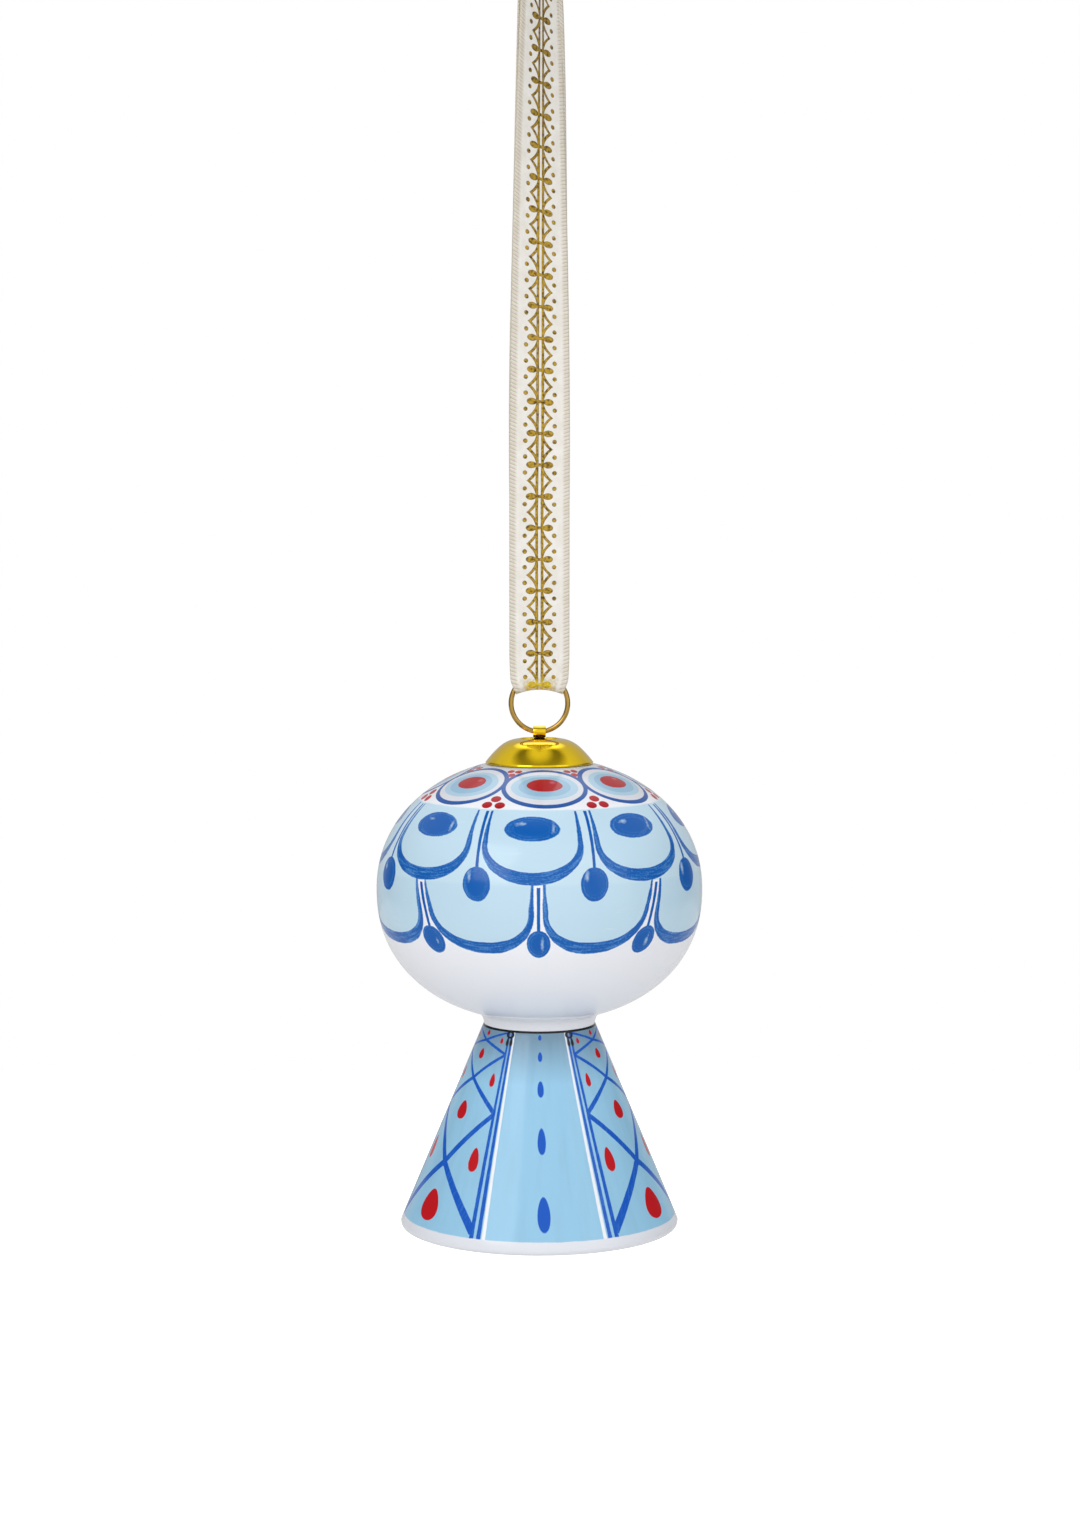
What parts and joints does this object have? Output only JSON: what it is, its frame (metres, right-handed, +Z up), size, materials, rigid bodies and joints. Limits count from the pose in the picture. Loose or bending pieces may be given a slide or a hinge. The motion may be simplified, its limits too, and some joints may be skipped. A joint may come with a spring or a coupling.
{
  "type": "porcelain bell",
  "caption": "Hanging porcelain bell: an oblate globe on a flared conical skirt, with a domed metal cap, wire ring, ribbon loop and inner clapper.",
  "frame": {"origin": "the hanging point, between the ribbon's two legs under its knot", "axes": "+Z up along the bell's axis, front towards -Y, +X to the right seen from the front"},
  "size_m": [0.0546, 0.0546, 0.2394],
  "materials": {
    "ribbon": "woven satin with a gold print",
    "gilt_wire": "polished, gold plated",
    "gilt_strip": "polished, gold plated",
    "gilt_cap": "pressed and polished, gold plated",
    "porcelain": "white glaze with painted blue, light blue and red decoration",
    "gasket_fibre": "pressed fibre",
    "plain_brass": "plain stamped brass",
    "steel_wire": "drawn wire",
    "bead_wood": "turned and waxed"
  },
  "bodies": {
    "ribbon": {"ribbon": "ribbon"},
    "ring": {"hanger_ring": "gilt_wire"},
    "bell": {"split_pin": "gilt_strip", "crown_cap": "gilt_cap", "bell_body": "porcelain", "crown_gasket": "gasket_fibre", "inner_washer": "plain_brass", "clapper_staple": "plain_brass"},
    "link": {"clapper_link": "steel_wire"},
    "clapper": {"clapper_wire": "steel_wire", "clapper_crimp": "steel_wire"},
    "bead": {"clapper_bead": "bead_wood"}
  },
  "joints": [
    {"name": "ring_turn", "type": "hinge", "parent": "ribbon", "child": "ring", "pos_m": [0, 0, -0.12741], "axis": [0, 1, 0], "range_deg": [-45, 45]},
    {"name": "bell_swing", "type": "hinge", "parent": "ring", "child": "bell", "pos_m": [0, 0, -0.13213], "axis": [1, 0, 0], "range_deg": [-60, 60]},
    {"name": "link_swing", "type": "hinge", "parent": "bell", "child": "link", "pos_m": [0, 0, -0.14409], "axis": [1, 0, 0], "range_deg": [-5.5, 5.5]},
    {"name": "clapper_swing", "type": "hinge", "parent": "link", "child": "clapper", "pos_m": [0, 0, -0.14709], "axis": [0, 1, 0], "range_deg": [-5.5, 5.5]},
    {"name": "bead_spin", "type": "hinge", "parent": "clapper", "child": "bead", "pos_m": [0, 0, -0.19974], "axis": [0, 0, 1], "continuous": true}
  ]
}
